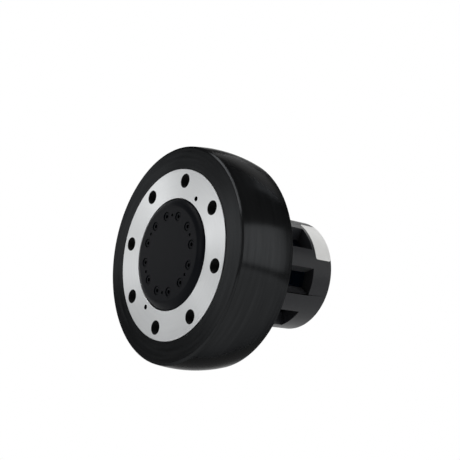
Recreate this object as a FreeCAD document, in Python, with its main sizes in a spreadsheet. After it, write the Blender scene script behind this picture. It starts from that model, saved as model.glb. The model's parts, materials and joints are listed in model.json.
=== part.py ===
import FreeCAD, Part
import math
import os

import Sketcher
from FreeCAD import Placement, Rotation, Vector

# Robot joint actuator: a strain-wave rotary joint with a crowned drum, a bolted
# output flange in front and a windowed housing behind, which holds the motor,
# the brake and the electronics.
#
# Millimetres. The turning axis is Y and the output faces -Y. The origin is on
# the axis, in the plane of the drum's rear face, where the joint is bolted on.
# Angles go round the axis from +X towards +Z.

SIZES = [
    # drum and the threaded ring that closes its front
    ("drum_depth", 43.4, "rear face to front ring face"),
    ("front_wall", 9.7, "drum bore to the front edge of the crowned wall"),
    ("rear_edge_wall", 9, "drum bore to the rear edge of the crowned wall"),
    ("crown_radius", 100, "arc of the crowned wall"),
    ("rear_wall", 6, "drum rear wall"),
    ("rear_edge_chamfer", 0.8, "drum rear edge"),
    ("ring_chamfer_width", 1.4, "front ring chamfer, radial"),
    ("ring_chamfer_depth", 1.0, "front ring chamfer, along the axis"),
    ("mount_inset", 4.5, "drum bore to the middle of the tapped holes"),
    ("mount_hole", 5, "M6 tapping drill"),
    ("mount_depth", 12, "depth of the tapped holes"),
    ("mount_count", 8, "number of tapped holes"),
    # output flange
    ("flange_diameter", 116, "output flange"),
    ("flange_proud", 0.6, "flange face ahead of the ring face"),
    ("hub_gap", 0.6, "hub disc to the wall of its seat"),
    ("seat_depth", 7, "depth of that seat"),
    ("web_thickness", 5, "web that carries the gear cup"),
    ("cup_room", 86, "bore of the flange round the gear cup"),
    ("output_circle", 100, "tapped holes of the output flange"),
    ("output_hole", 9, "M10 x 1 tapping drill"),
    ("output_depth", 16, "depth of those holes"),
    ("output_count", 8, "number of those holes"),
    ("output_angle", -13.1, "angle of the first hole, degrees"),
    ("pin_circle", 85, "dowel holes between the tapped holes"),
    ("pin_hole", 3, "dowel hole"),
    ("pin_depth", 8, "depth of a dowel hole"),
    ("pin_count", 2, "number of dowel holes"),
    ("pin_angle", 67.5, "first tapped hole to the first dowel hole, degrees"),
    # hub disc and its fasteners
    ("hub_diameter", 74.8, "hub disc"),
    ("hub_proud", 2.5, "hub face ahead of the flange face"),
    ("hub_bevel_width", 5.2, "rounded rim of the hub, radial"),
    ("hub_bevel_drop", 2.8, "rounded rim of the hub, along the axis"),
    ("hub_bevel_radius", 9, "arc of the rounded rim"),
    ("hub_circle", 52, "circle of the hub screws and dowels"),
    ("hub_groups", 6, "groups of screw, dowel and screw"),
    ("hub_angle", 23.85, "angle of the first dowel, degrees"),
    ("hub_screw_step", 15, "screw to dowel, degrees"),
    ("hub_dowel", 2, "dowel diameter"),
    ("hub_dowel_length", 4, "dowel length"),
    ("hub_dowel_sunk", 1, "dowel end below the hub face"),
    # M3 and M4 socket-head screws, of which only the heads are drawn
    ("head_three", 5.5, "M3 head"),
    ("height_three", 3, "M3 head height"),
    ("sink_three", 0.5, "M3 head below the face round it"),
    ("head_four", 7, "M4 head"),
    ("height_four", 4, "M4 head height"),
    ("head_clearance", 0.3, "play round a sunk head, on the radius"),
    # strain-wave gear
    ("gear_module", 1.35, "tooth module"),
    ("cup_teeth", 60, "teeth on the flexible cup"),
    ("ring_teeth", 62, "teeth in the fixed ring"),
    ("tooth_share", 0.45, "tooth height above the pitch line, modules"),
    ("root_share", 0.55, "tooth depth below the pitch line, modules"),
    ("tooth_land", 0.22, "width of a tooth's tip, of one pitch"),
    ("gear_length", 14, "fixed toothed ring, along the axis"),
    ("tooth_inset", 1.5, "cup teeth inside the ring's ends"),
    ("cup_wall", 0.9, "wall of the cup"),
    ("cup_boss", 64, "thick middle of the cup"),
    ("boss_thickness", 5, "thickness of that middle"),
    ("clamp_thickness", 4, "plate that clamps the cup to the web"),
    ("wave_ovality", 1.35, "long half-axis less short half-axis"),
    ("wave_race", 5, "flexible bearing, radial"),
    # main bearing and seal
    ("bearing_width", 10, "main bearing outer ring"),
    ("bearing_section", 6, "flange to drum bore, room of the bearing and the seal"),
    ("bearing_gap", 0.4, "gap between its ring and the flange"),
    ("seal_width", 3, "output seal"),
    ("running_gap", 0.05, "play of a running fit, on the radius"),
    ("face_gap", 0.35, "gap between a turning face and a fixed one"),
    # rear housing
    ("housing_diameter", 80, "rear housing"),
    ("housing_length", 69, "rear face of the drum to the rear end"),
    ("flange_reach", 14, "flange that is screwed to the drum, past the housing"),
    ("flange_thickness", 6, "height of that flange above the drum"),
    ("flange_seat", 0.5, "depth of its seat in the drum's rear face"),
    ("spigot_reach", 4, "spigot in the drum's rear wall, past the housing"),
    ("screw_reach", 9, "screws of that flange, past the housing"),
    ("housing_screws", 6, "number of those screws"),
    ("motor_wall", 3.5, "housing wall round the motor"),
    ("stator_bore_end", 27, "end of the motor bore, from the drum"),
    ("window_wall", 9, "housing wall that the windows go through"),
    ("window_count", 7, "windows round the housing"),
    ("window_pitch", 48, "window to window, degrees"),
    ("window_angle", -110.15, "angle of the first window, degrees"),
    ("window_width", 20.4, "window across its outer edge"),
    ("window_taper", 0.5, "how much a window side leans in per mm of depth"),
    ("cut_past", 2, "how far a cutting outline runs past the wall it cuts"),
    ("window_length", 23.2, "window along the axis"),
    ("rear_band", 17.8, "solid band behind the windows"),
    ("end_chamfer", 0.5, "rear end of the housing"),
    ("cover_rim", 3, "housing wall round the rear cover"),
    ("cover_thickness", 3, "rear cover"),
    ("cover_recess", 6.5, "front face of the cover to the housing's rear end"),
    ("cover_screw_inset", 3, "edge of the cover to the middle of its screws"),
    ("cover_screws", 4, "number of those screws"),
    ("cover_screw_angle", 45, "angle of the first of them, degrees"),
    ("label_start", 10.2, "lower end of the label, degrees"),
    ("label_end", 58, "upper end of the label, degrees"),
    ("label_width", 14.5, "label along the axis"),
    ("label_inset", 0.8, "label to the rear end"),
    ("label_thickness", 0.15, "label"),
    ("label_corner", 1.6, "label corner radius"),
    # motor
    ("shaft_diameter", 17, "motor shaft"),
    ("tail_diameter", 12, "thin rear end of the shaft"),
    ("bearing_outer", 26, "shaft bearing, outside"),
    ("bearing_plate", 5, "plates that hold the shaft bearings"),
    ("stator_length", 14, "stator core"),
    ("stator_depth", 14.5, "stator core, radial"),
    ("stator_yoke", 5, "back iron of the stator"),
    ("slot_count", 12, "stator slots"),
    ("tooth_width", 5.5, "stator tooth"),
    ("coil_overhang", 3, "coil past each end of the core"),
    ("coil_wall", 2, "coil beside its tooth"),
    ("coil_front_gap", 1, "coil behind the stator bore"),
    ("coil_yoke_gap", 0.5, "coil to the back iron"),
    ("air_gap", 0.6, "rotor to stator"),
    ("magnet_count", 10, "rotor magnets"),
    ("magnet_thickness", 2.5, "rotor magnet"),
    ("magnet_fill", 0.83, "share of the rotor's round that the magnets fill"),
    # brake
    ("brake_inset", 3.5, "middle of the board standoffs to the brake coil body"),
    ("brake_bore", 22, "hole in the brake parts round the shaft"),
    ("armature_inset", 3, "middle of the brake spacers to the armature plate"),
    ("armature_thickness", 2.5, "armature plate"),
    ("armature_travel", 0.3, "travel of the armature plate"),
    ("friction_thickness", 3, "friction disc"),
    ("spacer_inset", 2.5, "edge of the coil body to the middle of its spacers"),
    ("spacer_size", 4, "spacer across its flats"),
    ("spacer_count", 3, "number of spacers"),
    # electronics
    ("encoder_inset", 4, "middle of the encoder standoffs to the encoder disc"),
    ("encoder_thickness", 1.2, "encoder disc"),
    ("encoder_board_inset", 6, "circle of its standoffs less the side of the encoder board"),
    ("encoder_post_inset", 5.5, "edge of the coil body to the middle of these standoffs"),
    ("encoder_post_angle", 45, "angle of the first of those standoffs, degrees"),
    ("encoder_air", 1, "encoder disc to the reader chip"),
    ("chip_size", 8, "reader chip, square"),
    ("chip_height", 1.4, "reader chip"),
    ("board_thickness", 1.6, "circuit boards"),
    ("driver_gap", 1, "driver board to the housing bore"),
    ("boards_gap", 4.55, "encoder board to driver board"),
    ("standoff_inset", 4, "edge of the driver board to the middle of its standoffs"),
    ("standoff_size", 5, "standoff across its flats"),
    ("post_count", 4, "standoffs of each board"),
    ("standoff_angle", 12, "angle of the first standoff, degrees"),
    ("connector_length", 8, "board connector, radial"),
    ("connector_width", 12, "board connector, tangential"),
    ("connector_height", 7, "board connector, along the axis"),
    ("connector_inset", 1, "edge of the driver board to its connectors"),
    ("connector_turn", 240, "first connector to the second, degrees"),
    ("capacitor_diameter", 10, "bus capacitor"),
    ("capacitor_height", 6, "bus capacitor"),
    ("capacitor_place", 16, "capacitor from the axis"),
    ("capacitor_count", 3, "number of capacitors"),
    ("capacitor_gap", 0.9, "capacitor to the rear cover"),
]

doc = FreeCAD.newDocument("joint_actuator")
sheet = doc.addObject("Spreadsheet::Sheet", "Sizes")
for row, (alias, number, note) in enumerate(SIZES, start=1):
    sheet.set(f"A{row}", note)
    sheet.set(f"B{row}", str(number))
    sheet.setAlias(f"B{row}", alias)
doc.recompute()


class Size:
    """A length, angle or count with its number and its spreadsheet expression."""

    def __init__(self, number, text):
        self.number = number
        self.text = text

    def joined(self, other, sign, number):
        return Size(number, f"({self.text} {sign} {sized(other).text})")

    def __add__(self, other):
        return self.joined(other, "+", self.number + sized(other).number)

    def __sub__(self, other):
        return self.joined(other, "-", self.number - sized(other).number)

    def __mul__(self, other):
        return self.joined(other, "*", self.number * sized(other).number)

    def __truediv__(self, other):
        return self.joined(other, "/", self.number / sized(other).number)

    def __neg__(self):
        return Size(-self.number, f"(0 - {self.text})")


def sized(value):
    """A plain number becomes a Size; a Size stays as it is."""
    return value if isinstance(value, Size) else Size(value, repr(value))


class Sheet:
    """Every alias of the spreadsheet as a Size: dim.drum_depth."""

    def __getattr__(self, alias):
        return Size(float(sheet.get(alias)), f"Sizes.{alias}")


dim = Sheet()
ZERO = Size(0.0, "0")
AXIS = Vector(0, 1, 0)


# ---- helpers -------------------------------------------------------------

def bind(item, **values):
    """Bind properties to the spreadsheet; a double underscore stands for a dot."""
    for name, value in values.items():
        item.setExpression(name.replace("__", "."), sized(value).text)


def origin_part(body, role):
    """One of a body's own origin planes or axes."""
    return next(f for f in body.Origin.OriginFeatures if f.Role == role)


def profile(sketch, points, arcs):
    """A closed outline through the points; arcs maps a side to its radius."""
    count = len(points)
    for i, (first, last) in enumerate(zip(points, points[1:] + points[:1])):
        start = Vector(first[0].number, first[1].number, 0)
        end = Vector(last[0].number, last[1].number, 0)
        if i in arcs:
            chord = end - start
            half = chord.Length / 2
            rise = arcs[i].number - math.sqrt(arcs[i].number ** 2 - half ** 2)
            outward = Vector(chord.y, -chord.x, 0).normalize()
            middle = (start + end) / 2 + outward * rise
            sketch.addGeometry(Part.Arc(start, middle, end))
        else:
            sketch.addGeometry(Part.LineSegment(start, end))
    for i, (across, along) in enumerate(points):
        before = (i - 1) % count
        sketch.addConstraint(Sketcher.Constraint("Coincident", before, 2, i, 1))
        for kind, value in (("DistanceX", across), ("DistanceY", along)):
            if kind == "DistanceX" and value is ZERO:
                sketch.addConstraint(Sketcher.Constraint("PointOnObject", i, 1, -2))
                continue
            rule = Sketcher.Constraint(kind, -1, 1, i, 1, value.number)
            index = sketch.addConstraint(rule)
            sketch.setExpression(f"Constraints[{index}]", value.text)
    for i, radius in arcs.items():
        index = sketch.addConstraint(Sketcher.Constraint("Radius", i, radius.number))
        sketch.setExpression(f"Constraints[{index}]", radius.text)


def turned(label, points, arcs=None):
    """A body turned about Y. Each point is (radius, place along Y)."""
    body = doc.addObject("PartDesign::Body", label)
    sketch = body.newObject("Sketcher::SketchObject", f"{label}_outline")
    sketch.AttachmentSupport = (origin_part(body, "XY_Plane"), [""])
    sketch.MapMode = "FlatFace"
    profile(sketch, points, arcs or {})
    doc.recompute()
    revolution = body.newObject("PartDesign::Revolution", f"{label}_turned")
    revolution.Profile = sketch
    revolution.ReferenceAxis = (sketch, ["V_Axis"])
    revolution.Angle = 360
    body.Tip = revolution
    return body


def ring(label, inner, outer, start, end):
    """A plain turned ring between two places on the axis."""
    return turned(label, [(inner, start), (outer, start), (outer, end), (inner, end)])


def disc(label, radius, start, end):
    """A plain turned disc between two places on the axis."""
    return ring(label, ZERO, radius, start, end)


def cross_sketch(body, name, place):
    """A sketch square to the axis: its X is +X and its Y is +Z."""
    sketch = body.newObject("Sketcher::SketchObject", name)
    sketch.AttachmentSupport = (origin_part(body, "XZ_Plane"), [""])
    sketch.MapMode = "FlatFace"
    sketch.setExpression("AttachmentOffset.Base.z", (-place).text)
    return sketch


def cut(body, name, sketch, depth, backwards):
    """Pocket a sketch along +Y, or along -Y when backwards, and check that it cuts."""
    doc.recompute()
    before = body.Shape.Volume
    pocket = body.newObject("PartDesign::Pocket", name)
    pocket.Profile = sketch
    pocket.Reversed = backwards
    bind(pocket, Length=depth)
    doc.recompute()
    if before - body.Shape.Volume < 1e-3:
        raise RuntimeError(f"{name} cuts nothing")
    return pocket


def around(body, name, feature, count, angle=None):
    """Repeat a feature round the axis, from +X towards +Z, over one angle or a full turn."""
    pattern = body.newObject("PartDesign::PolarPattern", name)
    pattern.Originals = [feature]
    pattern.Axis = (origin_part(body, "Y_Axis"), [""])
    pattern.Angle = 360
    pattern.Reversed = True
    bind(pattern, Occurrences=count)
    if angle is not None:
        bind(pattern, Angle=angle)
    body.Tip = pattern
    doc.recompute()
    return pattern


def hole_circle(body, name, place, circle, hole, depth, count, angle=0.0, backwards=False):
    """Equal round holes on a circle, the first of them at an angle from +X."""
    sketch = cross_sketch(body, f"{name}_sketch", place)
    turn = math.radians(sized(angle).number)
    reach = (circle / 2).number
    spot = Vector(reach * math.cos(turn), reach * math.sin(turn), 0)
    sketch.addGeometry(Part.Circle(spot, Vector(0, 0, 1), (hole / 2).number))
    spoke = sketch.addGeometry(Part.LineSegment(Vector(), spot), True)
    sketch.addConstraint(Sketcher.Constraint("Coincident", spoke, 1, -1, 1))
    sketch.addConstraint(Sketcher.Constraint("Coincident", spoke, 2, 0, 3))
    index = sketch.addConstraint(Sketcher.Constraint("Distance", spoke, reach))
    sketch.setExpression(f"Constraints[{index}]", (circle / 2).text)
    index = sketch.addConstraint(Sketcher.Constraint("Radius", 0, (hole / 2).number))
    sketch.setExpression(f"Constraints[{index}]", (hole / 2).text)
    if abs(turn) < 1e-9:
        sketch.addConstraint(Sketcher.Constraint("Horizontal", spoke))
    else:
        index = sketch.addConstraint(Sketcher.Constraint("Angle", spoke, turn))
        sketch.setExpression(f"Constraints[{index}]", f"{sized(angle).text} * 1 deg")
    pocket = cut(body, name, sketch, depth, backwards)
    around(body, f"{name}_pattern", pocket, count)


def turn_about_axis(item, angle):
    """Turn a whole piece about the Y axis, from +X towards +Z."""
    item.Placement = Placement(Vector(), Rotation(AXIS, -sized(angle).number))
    item.setExpression("Placement.Rotation.Angle", f"{sized(angle).text} * 1 deg")
    item.setExpression("Placement.Rotation.Axis.y", "-1")


def solid_feature(label, shape, place=ZERO):
    """A shape made with Part's own functions, set at a place along the axis."""
    item = doc.addObject("Part::Feature", label)
    item.Shape = shape
    item.Placement = Placement(Vector(0, place.number, 0), Rotation())
    item.setExpression("Placement.Base.y", place.text)
    return item


def along_axis(radius, start, end):
    """A cylinder shape on the Y axis, from plain numbers."""
    return Part.makeCylinder(radius, end - start, Vector(0, start, 0), AXIS)


def copies(shape, angles, reach=0.0):
    """Copies of a shape moved out along +X and turned about the axis."""
    result = []
    for angle in angles:
        item = shape.copy()
        item.translate(Vector(reach, 0, 0))
        item.rotate(Vector(), AXIS, -angle)
        result.append(item)
    return Part.Compound(result)


def full_turn(count, start=0.0):
    """Angles of equal steps round a full turn."""
    number = int(round(count))
    return [start + 360.0 * step / number for step in range(number)]


def prism(sides, flats, length):
    """A regular bar along +Y with a given distance across its flats."""
    corner = flats / 2 / math.cos(math.pi / sides)
    ends = [360.0 * step / sides for step in range(sides + 1)]
    wire = Part.makePolygon([polar(corner, angle) for angle in ends])
    return Part.Face(wire).extrude(Vector(0, length, 0))


def polar(radius, angle, place=0.0):
    """A point at an angle in degrees round the axis."""
    turn = math.radians(angle)
    return Vector(radius * math.cos(turn), place, radius * math.sin(turn))


# ---- diameters that follow from others ---------------------------------------

drum_bore = dim.flange_diameter + dim.bearing_section * 2
drum_front_diameter = drum_bore + dim.front_wall * 2
drum_rear_diameter = drum_bore + dim.rear_edge_wall * 2
mount_circle = drum_bore + dim.mount_inset * 2
housing_flange = dim.housing_diameter + dim.flange_reach * 2
spigot_diameter = dim.housing_diameter + dim.spigot_reach * 2
housing_screw_circle = dim.housing_diameter + dim.screw_reach * 2
stator_bore = dim.housing_diameter - dim.motor_wall * 2
housing_bore = dim.housing_diameter - dim.window_wall * 2
cover_diameter = dim.housing_diameter - dim.cover_rim * 2
cover_screw_circle = cover_diameter - dim.cover_screw_inset * 2
driver_diameter = housing_bore - dim.driver_gap * 2
standoff_circle = driver_diameter - dim.standoff_inset * 2
brake_diameter = standoff_circle - dim.brake_inset * 2
spacer_circle = brake_diameter - dim.spacer_inset * 2
armature_diameter = spacer_circle - dim.armature_inset * 2
encoder_circle = brake_diameter - dim.encoder_post_inset * 2
encoder_diameter = encoder_circle - dim.encoder_inset * 2
encoder_board_size = encoder_circle - dim.encoder_board_inset
stator_inner = stator_bore - dim.stator_depth * 2
flange_recess = dim.hub_diameter + dim.hub_gap * 2

# ---- places along the axis -------------------------------------------------

ring_face = -dim.drum_depth
flange_face = ring_face - dim.flange_proud
hub_face = flange_face - dim.hub_proud
drum_front = ring_face + dim.ring_chamfer_depth
web_front = flange_face + dim.seat_depth
web_rear = web_front + dim.web_thickness
gear_rear = -dim.rear_wall
gear_front = gear_rear - dim.gear_length
bearing_front = gear_front - dim.bearing_width
seal_front = bearing_front - dim.seal_width
boss_rear = web_rear + dim.boss_thickness
clamp_rear = boss_rear + dim.clamp_thickness
cup_end = gear_rear - dim.tooth_inset
cup_teeth_start = gear_front + dim.tooth_inset
front_plate_rear = gear_rear + dim.bearing_plate
rear_plate_front = dim.stator_bore_end - dim.bearing_plate
motor_middle = (front_plate_rear + rear_plate_front) / 2
stator_front = motor_middle - dim.stator_length / 2
friction_front = dim.stator_bore_end + dim.face_gap
friction_rear = friction_front + dim.friction_thickness
armature_front = friction_rear + dim.running_gap
armature_rear = armature_front + dim.armature_thickness
brake_front = armature_rear + dim.armature_travel + dim.running_gap
cover_front = dim.housing_length - dim.cover_recess
driver_place = (cover_front - dim.capacitor_gap - dim.capacitor_height
                - dim.board_thickness)
encoder_board_front = driver_place - dim.boards_gap - dim.board_thickness
disc_rear = encoder_board_front - dim.chip_height - dim.encoder_air
disc_front = disc_rear - dim.encoder_thickness
brake_rear = disc_front - dim.encoder_air
window_end = dim.housing_length - dim.rear_band
window_start = window_end - dim.window_length

# ---- strain-wave gear radii --------------------------------------------------

cup_pitch = dim.gear_module * dim.cup_teeth / 2
ring_pitch = dim.gear_module * dim.ring_teeth / 2
tooth_up = dim.gear_module * dim.tooth_share
tooth_down = dim.gear_module * dim.root_share
cup_outer = cup_pitch - tooth_down
cup_inner = cup_outer - dim.cup_wall
wave_outer = cup_inner - dim.running_gap


# ---- drum, front ring, bearing and seal ----------------------------------------

def drum_housing():
    """The crowned drum: outer wall, stepped bore and rear wall."""
    front = drum_front_diameter / 2
    rear = drum_rear_diameter / 2
    bore = drum_bore / 2
    collar = spigot_diameter / 2
    seat = housing_flange / 2 + dim.head_clearance
    body = turned("drum_housing", [
        (bore, drum_front),
        (front, drum_front),
        (rear, -dim.rear_edge_chamfer),
        (rear - dim.rear_edge_chamfer, ZERO),
        (seat, ZERO),
        (seat, -dim.flange_seat),
        (collar, -dim.flange_seat),
        (collar, gear_rear),
        (bore, gear_rear),
    ], {1: dim.crown_radius})
    hole_circle(body, "mount_holes", ZERO, mount_circle, dim.mount_hole,
                dim.mount_depth, dim.mount_count, backwards=True)


def front_ring():
    """The black ring whose threaded spigot clamps the bearing stack."""
    edge = drum_front_diameter / 2
    bore = dim.flange_diameter / 2 + dim.face_gap
    spigot = drum_bore / 2
    turned("front_ring", [
        (bore, ring_face),
        (edge - dim.ring_chamfer_width, ring_face),
        (edge, drum_front),
        (spigot, drum_front),
        (spigot, seal_front),
        (bore, seal_front),
    ])


def bearing_parts():
    """Outer ring of the main bearing, and the seal in front of it."""
    flange = dim.flange_diameter / 2
    bore = drum_bore / 2
    ring("bearing_outer_ring", flange + dim.bearing_gap, bore, bearing_front, gear_front)
    ring("output_seal", flange + dim.running_gap, bore, seal_front, bearing_front)


# ---- output side ---------------------------------------------------------------

def output_flange():
    """The bright flange: tapped ring in front, web inside, race at the rear."""
    outer = dim.flange_diameter / 2
    recess = flange_recess / 2
    room = dim.cup_room / 2
    rear = gear_front - dim.face_gap
    body = turned("output_flange", [
        (ZERO, web_front),
        (recess, web_front),
        (recess, flange_face),
        (outer, flange_face),
        (outer, rear),
        (room, rear),
        (room, web_rear),
        (ZERO, web_rear),
    ])
    hole_circle(body, "output_holes", flange_face, dim.output_circle, dim.output_hole,
                dim.output_depth, dim.output_count)
    hole_circle(body, "pin_holes", flange_face, dim.pin_circle, dim.pin_hole,
                dim.pin_depth, dim.pin_count, dim.pin_angle)
    turn_about_axis(body, dim.output_angle)


def hub_disc():
    """The black hub with a rounded rim, six groups of two screws and a dowel."""
    outer = dim.hub_diameter / 2
    body = turned("hub_disc", [
        (ZERO, hub_face),
        (outer - dim.hub_bevel_width, hub_face),
        (outer, hub_face + dim.hub_bevel_drop),
        (outer, web_front),
        (ZERO, web_front),
    ], {1: dim.hub_bevel_radius})
    head = dim.head_three + dim.head_clearance * 2
    sunk = dim.height_three + dim.sink_three
    for side, name in ((1, "first"), (-1, "second")):
        hole_circle(body, f"{name}_counterbores", hub_face, dim.hub_circle, head,
                    sunk, dim.hub_groups, dim.hub_screw_step * side)
    hole_circle(body, "dowel_holes", hub_face, dim.hub_circle, dim.hub_dowel,
                dim.hub_dowel_length + dim.hub_dowel_sunk, dim.hub_groups)
    turn_about_axis(body, dim.hub_angle)


def hub_fasteners():
    """Twelve screws and six dowels of the hub disc."""
    first = dim.hub_angle.number
    step = dim.hub_screw_step.number
    groups = full_turn(dim.hub_groups.number, first)
    angles = [angle + side * step for angle in groups for side in (1, -1)]
    reach = dim.hub_circle.number / 2
    head = along_axis(dim.head_three.number / 2, 0, dim.height_three.number)
    solid_feature("hub_screws", copies(head, angles, reach), hub_face + dim.sink_three)
    pin = along_axis(dim.hub_dowel.number / 2, 0, dim.hub_dowel_length.number)
    solid_feature("hub_dowels", copies(pin, groups, reach), hub_face + dim.hub_dowel_sunk)


# ---- strain-wave gear ------------------------------------------------------------

def toothed_wire(teeth, root, tip, land):
    """A closed outline of straight-flanked teeth between two radii."""
    pitch = 360.0 / teeth
    corners = []
    for number in range(teeth):
        middle = number * pitch
        corners.append(polar(root, middle - pitch * (0.5 - land / 2)))
        corners.append(polar(tip, middle - pitch * land / 2))
        corners.append(polar(tip, middle + pitch * land / 2))
        corners.append(polar(root, middle + pitch * (0.5 - land / 2)))
    return Part.makePolygon(corners + corners[:1])


def circular_spline():
    """The fixed ring with internal teeth, clamped on the drum's rear wall."""
    pitch = ring_pitch.number
    teeth = toothed_wire(int(dim.ring_teeth.number), pitch + tooth_down.number,
                         pitch - tooth_up.number, dim.tooth_land.number)
    length = dim.gear_length.number
    blank = along_axis(drum_bore.number / 2, 0, length)
    hole = Part.Face(teeth).extrude(Vector(0, length, 0))
    solid_feature("circular_spline", blank.cut(hole), gear_front)


def flexspline():
    """The thin cup with external teeth, drawn round as it is when relaxed."""
    outer = cup_outer.number
    inner = cup_inner.number
    boss = dim.cup_boss.number / 2
    depth = (cup_end - web_rear).number
    band = (cup_teeth_start - web_rear).number
    teeth = toothed_wire(int(dim.cup_teeth.number), outer,
                         (cup_pitch + tooth_up).number, dim.tooth_land.number)
    toothed = Part.Face(teeth).extrude(Vector(0, depth - band, 0))
    toothed.translate(Vector(0, band, 0))
    cup = along_axis(outer, 0, band).fuse(toothed)
    room = along_axis(inner, dim.cup_wall.number, depth)
    middle = along_axis(boss, 0, dim.boss_thickness.number)
    solid_feature("flexspline", cup.cut(room).fuse(middle).removeSplitter(), web_rear)
    disc("cup_clamp", dim.cup_boss / 2, boss_rear, clamp_rear)


def oval(length, half_long):
    """An oval bar along +Y whose long half-axis lies along +X."""
    half_short = half_long - dim.wave_ovality.number
    curve = Part.Ellipse(Vector(half_long, 0, 0), Vector(0, 0, half_short), Vector())
    return Part.Face(Part.Wire(curve.toShape())).extrude(Vector(0, length, 0))


def wave_generator():
    """The oval plug on the shaft and the flexible bearing round it."""
    length = (cup_end - cup_teeth_start).number
    outside = oval(length, wave_outer.number)
    inside = oval(length, wave_outer.number - dim.wave_race.number)
    hole = along_axis(dim.shaft_diameter.number / 2, 0, length)
    solid_feature("wave_bearing", outside.cut(inside), cup_teeth_start)
    solid_feature("wave_plug", inside.cut(hole), cup_teeth_start)


# ---- rear housing ------------------------------------------------------------------

def rear_housing():
    """The thick-walled housing with seven tapered windows, all one casting."""
    outer = dim.housing_diameter / 2
    spigot = spigot_diameter / 2
    flange = housing_flange / 2
    motor = stator_bore / 2
    inner = housing_bore / 2
    cover = cover_diameter / 2 + dim.running_gap
    body = turned("rear_housing", [
        (motor, gear_rear),
        (spigot, gear_rear),
        (spigot, -dim.flange_seat),
        (flange, -dim.flange_seat),
        (flange, dim.flange_thickness),
        (outer, dim.flange_thickness),
        (outer, dim.housing_length - dim.end_chamfer),
        (outer - dim.end_chamfer, dim.housing_length),
        (cover, dim.housing_length),
        (cover, cover_front),
        (inner, cover_front),
        (inner, dim.stator_bore_end),
        (motor, dim.stator_bore_end),
    ])
    half = dim.window_width / 2
    lean = dim.window_taper
    near = inner - dim.cut_past
    far = outer + dim.cut_past
    sketch = cross_sketch(body, "window_sketch", window_start)
    profile(sketch, [
        (near, -(half - (outer - near) * lean)),
        (far, -(half + (far - outer) * lean)),
        (far, half + (far - outer) * lean),
        (near, half - (outer - near) * lean),
    ], {})
    window = cut(body, "window", sketch, dim.window_length, False)
    around(body, "windows", window, dim.window_count,
           dim.window_pitch * (dim.window_count - 1))
    turn_about_axis(body, dim.window_angle)


def rear_closure():
    """The rear cover with its screws, the flange screws and the label."""
    head = along_axis(dim.head_four.number / 2, 0, dim.height_four.number)
    spots = copies(head, full_turn(dim.housing_screws.number),
                   housing_screw_circle.number / 2)
    solid_feature("housing_screws", spots, dim.flange_thickness)
    cover_rear = cover_front + dim.cover_thickness
    disc("rear_cover", cover_diameter / 2, cover_front, cover_rear)
    head = along_axis(dim.head_three.number / 2, 0, dim.height_three.number)
    angles = full_turn(dim.cover_screws.number, dim.cover_screw_angle.number)
    spots = copies(head, angles, cover_screw_circle.number / 2)
    solid_feature("cover_screws", spots, cover_rear)


def label():
    """The blank label, bent round the solid rear band."""
    radius = dim.housing_diameter.number / 2
    thickness = dim.label_thickness.number
    width = dim.label_width.number
    shell = along_axis(radius + thickness, 0, width).cut(along_axis(radius, 0, width))
    middle = (dim.label_start.number + dim.label_end.number) / 2
    spread = math.radians(dim.label_end.number - dim.label_start.number) / 2
    half = radius * math.sin(spread)
    corner = dim.label_corner.number
    block = Part.makeBox(radius, width, half * 2, Vector(radius / 2, 0, -half))
    edges = [edge for edge in block.Edges
             if abs(edge.tangentAt(edge.FirstParameter).x) > 0.99]
    block = block.makeFillet(corner, edges)
    solid_feature("label", copies(shell.common(block), [middle]),
                  dim.housing_length - dim.label_inset - dim.label_width)


# ---- motor -----------------------------------------------------------------------------

def motor():
    """Bearing plates, bearings, shaft, stator with coils, rotor with magnets."""
    shaft = dim.shaft_diameter / 2
    tail = dim.tail_diameter / 2
    seat = dim.bearing_outer / 2
    bore = stator_bore / 2
    ring("motor_front_plate", seat, bore, gear_rear, front_plate_rear)
    ring("motor_rear_plate", seat, bore, rear_plate_front, dim.stator_bore_end)
    race = along_axis(seat.number, 0, dim.bearing_plate.number)
    race = race.cut(along_axis(shaft.number + dim.running_gap.number, 0,
                               dim.bearing_plate.number))
    other = race.copy()
    other.translate(Vector(0, (rear_plate_front - gear_rear).number, 0))
    solid_feature("shaft_bearings", Part.Compound([race, other]), gear_rear)
    turned("motor_shaft", [
        (ZERO, cup_teeth_start),
        (shaft, cup_teeth_start),
        (shaft, dim.stator_bore_end),
        (tail, dim.stator_bore_end),
        (tail, disc_front),
        (ZERO, disc_front),
    ])


def stator():
    """The slotted core and one coil on each of its teeth."""
    bore = stator_bore / 2
    inner = stator_inner / 2
    body = ring("stator_core", inner, bore, stator_front,
                stator_front + dim.stator_length)
    slots = dim.slot_count.number
    half_step = math.pi / slots
    yoke = bore - dim.stator_yoke
    half_tooth = dim.tooth_width / 2
    turn = Size(math.tan(half_step), f"tan(180 deg / {dim.slot_count.text})")
    near = inner - dim.cut_past
    sketch = cross_sketch(body, "slot_sketch", stator_front)
    slot_near = near * turn - half_tooth
    slot_far = yoke * turn - half_tooth
    profile(sketch, [
        (near, -slot_near),
        (yoke, -slot_far),
        (yoke, slot_far),
        (near, slot_near),
    ], {})
    slot = cut(body, "slot", sketch, dim.stator_length, False)
    around(body, "slots", slot, dim.slot_count)

    reach = (yoke - inner - dim.coil_front_gap - dim.coil_yoke_gap).number
    depth = dim.stator_length.number + 2 * dim.coil_overhang.number
    width = dim.tooth_width.number + 2 * dim.coil_wall.number
    start = (inner + dim.coil_front_gap).number
    coil = Part.makeBox(reach, depth, width, Vector(start, 0, -width / 2))
    tooth = Part.makeBox(reach, dim.stator_length.number, dim.tooth_width.number,
                         Vector(start, dim.coil_overhang.number,
                                -dim.tooth_width.number / 2))
    coils = copies(coil.cut(tooth), full_turn(slots, 180.0 / slots))
    solid_feature("stator_coils", coils, stator_front - dim.coil_overhang)


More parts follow.
